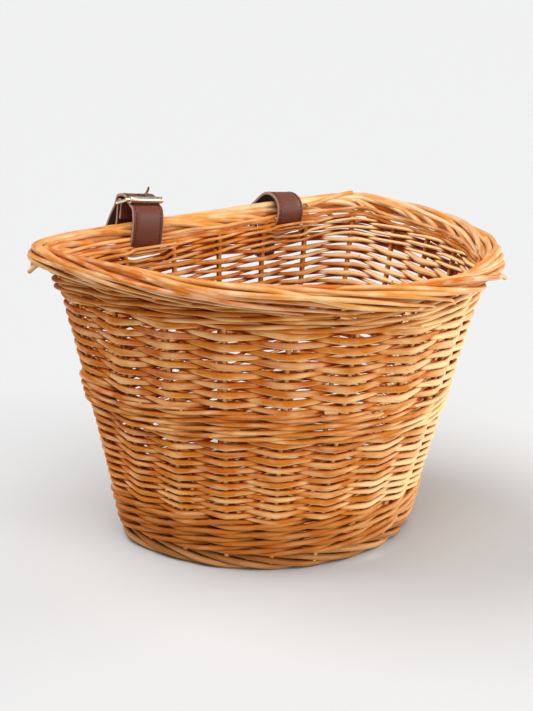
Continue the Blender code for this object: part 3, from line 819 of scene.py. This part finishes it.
EDGE_ROUND, EDGE_CHAMFER, EDGE_DROP = 0.5 * MM, 0.12 * MM, 0.22 * MM
CREASE_HALF_WIDTH, CREASE_DEPTH = 0.5 * MM, 0.22 * MM
FACE_MIDDLE = 6 * MM
LEATHER_SHARP, METAL_SHARP = math.radians(38), math.radians(40)
FOLD_SLOT_RADIUS, FOLD_SLOT_WIDTH = 4.3 * MM, 4.4 * MM
PRONG_SLOT_PLACE, PRONG_SLOT_SIZE = (9.5 * MM, 2.5 * MM), (3.2 * MM, 14 * MM, 12 * MM)
RIVET_HOLE_ROOM, RIVET_HOLE_LENGTH = 0.1 * MM, 20 * MM
TAIL_HOLES, TAIL_HOLE_RADIUS, TAIL_HOLE_LENGTH = (0.010, 0.022), 1.5 * MM, 6 * MM   # from the tip
STITCH_INSET = 0.0026
STITCH_FIRST, STITCH_LAST = 0.006, 0.012    # from the flap's end and from the tip
STITCH_SUNK, STITCH_BULGE = 0.20 * MM, 0.22 * MM
STITCH_SPACING = 0.0033
STITCH_LENGTH = 0.0023
STITCH_RADIUS = 0.00032
TAIL_AT_BUCKLE = (
    (0.0181, -0.0041), (0.0148, -0.0012), (0.0113, 0.0030),
    (0.0068, 0.0054), (0.0017, 0.0062), (-0.0036, 0.0057),
)
PRONG_PATH = (
    (0.0052, 0.0032), (0.0096, 0.0040), (0.0150, 0.0042),
    (0.0200, 0.0045), (0.0236, 0.0062), (0.0262, 0.0092),
)
STRAPS = {
    "left": {
        "x": -0.0607, "twist": math.radians(-10), "roll": math.radians(6),
        "heel": (0.0105, 0.0215), "frame_angle": math.radians(163.8), "run_angle": math.radians(-90),
        "flap": ((0.0080, 0.0100), (0.0077, 0.0145)),
        "loop": (
            (0.0133, 0.0160), (0.0133, 0.0100), (0.0136, 0.0030), (0.0142, -0.0050), (0.0112, -0.0115),
            (0.0055, -0.0148), (0.0, -0.0155), (-0.0060, -0.0145), (-0.0116, -0.0108),
            (-0.0145, -0.0045), (-0.0154, 0.0040), (-0.0153, 0.0115), (-0.0144, 0.0168), (-0.0121, 0.0208),
        ),
        "tail": (
            (0.0186, 0.0190), (0.0242, 0.0115), (0.0296, 0.0030), (0.0338, -0.0060), (0.0362, -0.0140),
        ),
        "rivet": (0.0105, 0.0135), "rivet_angle": 0.0,
    },
    "right": {
        "x": 0.0840, "twist": math.radians(-3), "roll": math.radians(6),
        "heel": (0.0180, -0.0200), "frame_angle": math.radians(58), "run_angle": math.radians(164.5),
        "flap": ((0.0080, -0.0146), (0.0135, -0.0160)),
        "loop": (
            (0.0120, -0.0212), (0.0060, -0.0192), (0.0, -0.0168), (-0.0060, -0.0145), (-0.0114, -0.0106),
            (-0.0143, -0.0045), (-0.0150, 0.0020), (-0.0132, 0.0080), (-0.0088, 0.0124),
            (-0.0018, 0.0148), (0.0050, 0.0142), (0.0110, 0.0108), (0.0170, 0.0058), (0.0222, 0.0014),
        ),
        "tail": ((0.0187, -0.0307), (0.0160, -0.0362), (0.0138, -0.0415)),
        "rivet": (0.0103, -0.0179), "rivet_angle": math.radians(74.5),
    },
}


def holder_matrix(strap):
    y = BORDER_PLAN[2]
    place = Vector((strap["x"], y, BORDER_Z * (1 + RIM_RISE * (y - MIDDLE_Y))))
    return Matrix.Translation(place) @ Euler((0.0, strap["roll"], strap["twist"])).to_matrix().to_4x4()


def smooth_path(points, step):
    """Points about a step apart on the smooth curve through these ones."""
    points = [np.array(point, float) for point in points]
    ends = [2 * points[0] - points[1], *points, 2 * points[-1] - points[-2]]
    path = []
    for a, b, c, d in zip(ends, ends[1:], ends[2:], ends[3:]):
        pieces = max(1, round(float(np.linalg.norm(c - b)) / step))
        for i in range(pieces):
            t = i / pieces
            path.append(0.5 * (2 * b + (c - a) * t + (2 * a - 5 * b + 4 * c - d) * t * t
                               + (3 * b - a - 3 * c + d) * t ** 3))
    return np.array([*path, points[-1]])


def at_buckle(strap, along, out):
    """(Y, Z) of a point given along the buckle frame from its heel bar and out of its plane."""
    c, s = math.cos(strap["frame_angle"]), math.sin(strap["frame_angle"])
    return (strap["heel"][0] + along * c + out * s, strap["heel"][1] + along * s - out * c)


def strap_path(strap):
    start = strap["run_angle"] - math.pi / 2
    fold = [(strap["heel"][0] + FOLD_RADIUS * math.cos(start - turn),
             strap["heel"][1] + FOLD_RADIUS * math.sin(start - turn)) for turn in np.linspace(0, math.pi, 5)]
    buckle = [at_buckle(strap, along, out) for along, out in TAIL_AT_BUCKLE]
    return smooth_path([*strap["flap"], *fold, *strap["loop"], *buckle, *strap["tail"]], STRAP_STEP)


def strap_section():
    """Points round a strap's section: across, out of the leather, and the material of the stretch after it.

    Materials: 0 the smooth grain side, 1 the cut edges, 2 the flesh side.
    """
    half, thick = STRAP_WIDTH / 2, LEATHER_THICKNESS / 2
    crease, flat = half - STITCH_INSET, half - EDGE_ROUND
    chamfer, low = half - EDGE_CHAMFER, thick - EDGE_DROP
    face = [(-flat, thick), (-crease - CREASE_HALF_WIDTH, thick), (-crease, thick - CREASE_DEPTH),
            (-crease + CREASE_HALF_WIDTH, thick), (-FACE_MIDDLE, thick)]
    face += [(0.0, thick)] + [(-x, off) for x, off in reversed(face)]
    section = [(x, off, 0) for x, off in face[:-1]]
    section += [(x, off, 1) for x, off in (face[-1], (chamfer, low), (half, 0.0), (chamfer, -low))]
    section += [(flat, -thick, 2), (0.0, -thick, 2)]
    section += [(x, off, 1) for x, off in ((-flat, -thick), (-chamfer, -low), (-half, 0.0), (-chamfer, low))]
    return section


def path_frame(path):
    """Directions along a path in the Y and Z plane, and to its left."""
    along = unit(np.gradient(path, axis=0))
    return along, np.stack((-along[:, 1], along[:, 0]), -1)


def strap_mesh(name, strap):
    path = strap_path(strap)
    left = path_frame(path)[1]
    section = strap_section()
    gone = lengths_along(path)
    narrow = np.sqrt(1 - np.clip((TIP_LENGTH - (gone[-1] - gone)) / TIP_ROUND, 0, 1) ** 2)
    across, off, _ = np.array(section).T
    x = across * narrow[:, None]
    y, z = (path.T[axis][:, None] + left.T[axis][:, None] * off for axis in (0, 1))
    mesh = bpy.data.meshes.new(name)
    points = np.stack((x, y, z), -1).reshape(-1, 3)
    mesh.from_pydata(points.tolist(), [], tube_faces(len(path), len(section)))
    looks = [look for _, _, look in section] * (len(path) - 1) + [1, 1]
    mesh.polygons.foreach_set("material_index", looks)
    grain = np.stack((np.broadcast_to(gone[:, None], x.shape), x, np.broadcast_to(off, x.shape)), -1)
    set_attribute(mesh, "grain", grain.reshape(-1, 3))
    return mesh


def cut_with(obj, cutters):
    """Cuts the cutters out of a mesh object and applies the result."""
    for cutter in cutters:
        modifier = obj.modifiers.new("cut", "BOOLEAN")
        modifier.operation = "DIFFERENCE"
        modifier.solver = "EXACT"
        modifier.object = cutter
    bpy.context.view_layer.update()
    depsgraph = bpy.context.evaluated_depsgraph_get()
    evaluated = obj.evaluated_get(depsgraph)
    mesh = bpy.data.meshes.new_from_object(evaluated, preserve_all_data_layers=True, depsgraph=depsgraph)
    obj.modifiers.clear()
    obj.data = mesh
    for cutter in cutters:
        bpy.data.objects.remove(cutter)


def cutter(matrix, radius=None, length=None, size=None):
    """A cylinder along Z, or a box where a size is given."""
    bm = bmesh.new()
    if size is None:
        bmesh.ops.create_cone(bm, cap_ends=True, segments=24, radius1=radius, radius2=radius, depth=length)
    else:
        bmesh.ops.create_cube(bm, size=1.0, matrix=Matrix.Diagonal((*size, 1.0)))
    obj = linked("cutter", mesh_of(bm, "cutter"))
    obj.matrix_world = matrix
    return obj


def placed(centre, turn=0.0, across=False):
    """A matrix in a strap's frame: at (Y, Z), turned about X, or with Z laid along X."""
    rotation = Matrix.Rotation(math.pi / 2, 4, "Y") if across else Matrix.Rotation(turn, 4, "X")
    return Matrix.Translation((0.0, *centre)) @ rotation


def rivet_place(strap):
    return placed(strap["rivet"], strap["rivet_angle"] - math.pi / 2)


def make_strap(side, strap, looks):
    name = f"{side}_strap"
    matrix = holder_matrix(strap)
    mesh = strap_mesh(f"{name}_leather", strap)
    for look in looks:
        mesh.materials.append(look)
    obj = linked(f"{name}_leather", mesh)
    obj.matrix_world = matrix
    path = strap_path(strap)
    along = path_frame(path)[0]
    prong_slot = placed(at_buckle(strap, *PRONG_SLOT_PLACE), strap["frame_angle"])
    cuts = [
        cutter(matrix @ placed(strap["heel"], across=True), FOLD_SLOT_RADIUS, FOLD_SLOT_WIDTH),
        cutter(matrix @ prong_slot, size=PRONG_SLOT_SIZE),
        cutter(matrix @ rivet_place(strap), RIVET_RADIUS + RIVET_HOLE_ROOM, RIVET_HOLE_LENGTH),
    ]
    for back in TAIL_HOLES:
        index = len(path) - 1 - round(back / STRAP_STEP)
        turn = math.atan2(along[index][1], along[index][0])
        cuts.append(cutter(matrix @ placed(path[index], turn), TAIL_HOLE_RADIUS, TAIL_HOLE_LENGTH))
    cut_with(obj, cuts)
    smooth_shaded(obj.data, LEATHER_SHARP)
    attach(obj, name)
    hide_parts(name)


def make_stitching(side, strap, look):
    """Short threads in the creases along both edges of a strap."""
    path = strap_path(strap)
    left = path_frame(path)[1]
    gone = lengths_along(path)
    steps = np.linspace(-0.5, 0.5, 7)
    bulge = np.sqrt(1 - (2 * steps) ** 2 * 0.9)
    lift = LEATHER_THICKNESS / 2 - STITCH_SUNK + bulge * STITCH_BULGE
    threads = []
    for edge in (-1, 1):
        for middle in np.arange(STITCH_FIRST, gone[-1] - STITCH_LAST, STITCH_SPACING):
            where = middle + steps * STITCH_LENGTH
            y, z, left_y, left_z = (np.interp(where, gone, column) for column in (*path.T, *left.T))
            x = np.full(len(where), edge * (STRAP_WIDTH / 2 - STITCH_INSET))
            points = np.stack((x, y + left_y * lift, z + left_z * lift), -1)
            outward = np.stack((x * 0, left_y, left_z), -1)
            threads.append(rod(points, outward, STITCH_RADIUS * bulge, STITCH_RADIUS * bulge))
    mesh = skin_mesh(f"{side}_strap_stitching", threads, 6)
    mesh.transform(holder_matrix(strap))
    add_piece(f"{side}_strap_stitching", mesh, [look], f"{side}_strap")


def lathe_mesh(name, profile, closed):
    """A profile of (radius, height) turned about Z; an open one starts and ends on the axis."""
    bm = bmesh.new()
    sides = LATHE_SIDES
    turns = [(math.cos(i / sides * 2 * math.pi), math.sin(i / sides * 2 * math.pi)) for i in range(sides)]
    rings = []
    for radius, height in profile:
        if radius == 0:
            rings.append([bm.verts.new((0, 0, height))] * sides)
        else:
            rings.append([bm.verts.new((radius * c, radius * s, height)) for c, s in turns])
    for low, high in zip(rings, rings[1:] + (rings[:1] if closed else [])):
        for i in range(sides):
            j = (i + 1) % sides
            bm.faces.new(list(dict.fromkeys((low[i], low[j], high[j], high[i]))))
    bmesh.ops.recalc_face_normals(bm, faces=bm.faces)
    mesh = smooth_shaded(mesh_of(bm, name), METAL_SHARP)
    places = np.empty(len(mesh.vertices) * 3)
    mesh.vertices.foreach_get("co", places)
    set_attribute(mesh, "grain", places.reshape(-1, 3)[:, [2, 0, 1]])
    return mesh


def rivet_profile():
    dome = [(0, RIVET_HALF_LENGTH + RIVET_HEAD_HEIGHT)]
    for turn in np.linspace(0, math.pi / 2, 7)[1:]:
        height = RIVET_HALF_LENGTH + RIVET_HEAD_HEIGHT * math.cos(turn)
        dome.append((RIVET_HEAD_RADIUS * math.sin(turn), height))
    half = [*dome, (RIVET_RADIUS, RIVET_HALF_LENGTH)]
    return half + [(radius, -height) for radius, height in reversed(half)]


def frame_path():
    """The buckle wire's centre line, a rounded rectangle from its heel bar to its far bar."""
    corners = (
        (1, FRAME_CORNER, -90), (1, FRAME_LENGTH - FRAME_CORNER, 0),
        (-1, FRAME_LENGTH - FRAME_CORNER, 90), (-1, FRAME_CORNER, 180),
    )
    path = []
    for side, centre_y, start in corners:
        centre_x = side * (FRAME_HALF_WIDTH - FRAME_CORNER)
        turn = np.radians(start + np.arange(0, 91, 10))
        path.append(np.stack((centre_x + FRAME_CORNER * np.cos(turn), centre_y + FRAME_CORNER * np.sin(turn),
                              0 * turn), -1))
    return np.concatenate(path)


def roller_profile():
    end = ((ROLLER_BORE, 0.0), (ROLLER_RADIUS - ROLLER_BEVEL, 0.0),
           (ROLLER_RADIUS - ROLLER_BULGE, ROLLER_BULGE), (ROLLER_RADIUS, ROLLER_BEVEL))
    low = [(radius, height - ROLLER_HALF_LENGTH) for radius, height in end]
    return low + [(radius, -height) for radius, height in reversed(low)]


def prong_rod(strap):
    eye = [(PRONG_EYE_RADIUS * math.cos(turn), PRONG_EYE_RADIUS * math.sin(turn))
           for turn in np.radians(np.arange(20, -271, -15))]
    path = smooth_path([*eye, *PRONG_PATH], PRONG_STEP)
    points = np.array([(0.0, *at_buckle(strap, along, out)) for along, out in path])
    share = np.linspace(0, 1, len(points))
    thick = PRONG_RADIUS * np.interp(share, PRONG_SHARES, PRONG_THICK)
    wide = PRONG_RADIUS * np.interp(share, PRONG_SHARES, PRONG_WIDE)
    return rod(points, np.array((1.0, 0.0, 0.0)), wide, thick)


def make_buckle(side, strap, look, prong_look):
    matrix = holder_matrix(strap)
    path = frame_path()
    wire = rod(path, UP, FRAME_HALF_DEPTH, HEEL_RADIUS, closed=True)
    frame_mesh = skin_mesh(f"{side}_frame", [wire], 16)
    frame_mesh.transform(placed(strap["heel"], strap["frame_angle"]))
    roller_mesh = lathe_mesh(f"{side}_roller", roller_profile(), True)
    roller_mesh.transform(placed(at_buckle(strap, FRAME_LENGTH, 0.0), across=True))
    prong_mesh = skin_mesh(f"{side}_prong", [prong_rod(strap)], 14)
    rivet_mesh = lathe_mesh(f"{side}_rivet", rivet_profile(), False)
    rivet_mesh.transform(rivet_place(strap))
    for name, mesh, material, body, node in (
            ("buckle_wire", frame_mesh, look, "buckle_frame", "buckle_frame"),
            ("buckle_tube", roller_mesh, look, "buckle_roller", "buckle_roller"),
            ("prong_wire", prong_mesh, prong_look, "buckle_prong", "buckle_prong"),
            ("rivet", rivet_mesh, look, "strap", "strap_rivet")):
        mesh.transform(matrix)
        add_piece(f"{side}_{name}", mesh, [material], f"{side}_{body}", [f"{side}_{node}"])


# ---- Camera, floor and light

TARGET = Vector((-0.0448, -0.0149, 0.1513))
CAMERA_YAW = math.radians(-40.78)
CAMERA_PITCH = math.radians(16.0325)
CAMERA_ROLL = math.radians(0.296)
CAMERA_DISTANCE = 1.1033
CAMERA_LENS = 76.63
FLOOR_HALF_SIZE = 30.0
FLOOR_COLOUR = (0.489, 0.490, 0.492, 1.0)
WORLD_STRENGTH = 0.36
# Suns: name, strength, spread, azimuth (0 in front, 90 at +X) and elevation, in degrees
SUNS = (
    ("key", 1.6, 24, 20, 8), ("right", 2.4, 40, 75, 10),
    ("top", 2.3, 44, -140, 60), ("inner", 2.2, 50, -30, 58),
)


def make_camera():
    data = bpy.data.cameras.new("camera")
    camera = linked("camera", data)
    flat = math.cos(CAMERA_PITCH)
    back = Vector((math.sin(CAMERA_YAW) * flat, -math.cos(CAMERA_YAW) * flat, math.sin(CAMERA_PITCH)))
    camera.location = TARGET + back * CAMERA_DISTANCE
    camera.rotation_mode = "QUATERNION"
    camera.rotation_quaternion = (-back).to_track_quat("-Z", "Y") @ Quaternion((0, 0, 1), CAMERA_ROLL)
    data.lens = CAMERA_LENS
    bpy.context.scene.camera = camera


def make_floor():
    bm = bmesh.new()
    bmesh.ops.create_grid(bm, x_segments=2, y_segments=2, size=FLOOR_HALF_SIZE)
    mesh = mesh_of(bm, "floor")
    material, tree, shader = new_material("floor_paper")
    set_inputs(tree, shader, {"Base Color": FLOOR_COLOUR, "Roughness": 0.9, "Specular IOR Level": 0.1})
    mesh.materials.append(material)
    floor = linked("floor", mesh)


def make_sun(name, strength, spread, azimuth, elevation):
    data = bpy.data.lights.new(name, "SUN")
    data.energy = strength
    data.angle = math.radians(spread)
    sun = linked(name, data)
    a, e = math.radians(azimuth), math.radians(elevation)
    source = Vector((math.sin(a) * math.cos(e), -math.cos(a) * math.cos(e), math.sin(e)))
    sun.rotation_mode = "QUATERNION"
    sun.rotation_quaternion = source.to_track_quat("Z", "Y")


def make_light():
    world = bpy.data.worlds.new("studio")
    world.use_nodes = True
    set_inputs(world.node_tree, world.node_tree.nodes["Background"],
               {"Color": (1.0, 1.0, 1.0, 1.0), "Strength": WORLD_STRENGTH})
    bpy.context.scene.world = world
    for sun in SUNS:
        make_sun(*sun)
    bpy.context.scene.view_settings.view_transform = "Standard"


# Willow looks: pale, middle, deep and dark colours, roughness and gloss
WILLOWS = (
    ("willow_weave_look",
     (0.99, 0.72, 0.35), (0.57, 0.19, 0.015), (0.44, 0.078, 0.0015), (0.22, 0.008, 0.0003), 0.40, 0.05),
    # Darker copy for the bottom wale: painted shade near the floor
    ("willow_weave_look_painted_shade",
     (0.70, 0.36, 0.12), (0.46, 0.145, 0.017), (0.34, 0.065, 0.003), (0.14, 0.008, 0.0005), 0.45, 0.05),
    ("willow_rod_look",
     (0.97, 0.76, 0.46), (0.67, 0.31, 0.06), (0.48, 0.12, 0.005), (0.20, 0.009, 0.0003), 0.34, 0.20),
    # Darker copy for the foot: painted shade near the floor
    ("willow_rod_look_painted_shade",
     (0.60, 0.30, 0.11), (0.36, 0.13, 0.025), (0.22, 0.055, 0.006), (0.08, 0.006, 0.0005), 0.40, 0.10),
    ("willow_stake_look",
     (0.90, 0.58, 0.25), (0.74, 0.34, 0.085), (0.52, 0.15, 0.02), (0.20, 0.02, 0.002), 0.45, 0.06),
    ("willow_base_look",
     (0.82, 0.48, 0.18), (0.64, 0.27, 0.06), (0.44, 0.14, 0.018), (0.15, 0.02, 0.003), 0.5, 0.04),
)

make_camera()
make_floor()
make_light()
WEAVE, SHADED_WEAVE, ROD, SHADED_ROD, STAKE, BASE = (willow(*look) for look in WILLOWS)
STRAP_LOOKS = (
    leather("leather_grain_side", (0.150, 0.042, 0.022), (0.088, 0.020, 0.008), 0.45, 1500.0),
    leather("leather_cut_edge", (0.46, 0.26, 0.18), (0.30, 0.15, 0.10), 0.70, 3000.0),
    leather("leather_flesh_side", (0.055, 0.024, 0.022), (0.028, 0.012, 0.012), 0.80, 2500.0),
)
# The prong's darker plating is painted shade, for the shadow it lies in; the tarnish spots are real wear
SHADED_BRASS = plated("worn_brass_look_painted_shade", (0.34, 0.28, 0.20), (0.12, 0.09, 0.06), 0.30)
THREAD = leather("waxed_thread", (0.060, 0.022, 0.018), (0.035, 0.013, 0.011), 0.55, 4000.0)
BRASS = plated("pale_brass_look", (0.86, 0.80, 0.62), (0.50, 0.40, 0.22), 0.18)
for band, low, high, rows in RANDING:
    rods_piece(f"{band}_rods", randing_rods(low, high, rows), WEAVE, [band])
for band, low, high, rounds in WALING:
    rods = waling_rods(low, high, rounds, band == "top_wale")
    if band == "top_wale":
        rods += rim_filler_rods()
    rods_piece(f"{band}_rods", rods, SHADED_WEAVE if band == "bottom_wale" else WEAVE, [band])
make_stakes(STAKE)
rods_piece("rim_border_rods", border_rods() + rim_ends(), ROD, ["rim_border"], 14)
rods_piece("foot_border_rods", foot_rods(), SHADED_ROD, ["foot_border"], 14)
make_base(BASE, STAKE)
for side, strap in STRAPS.items():
    make_strap(side, strap, STRAP_LOOKS)
    make_stitching(side, strap, THREAD)
    make_buckle(side, strap, BRASS, SHADED_BRASS)
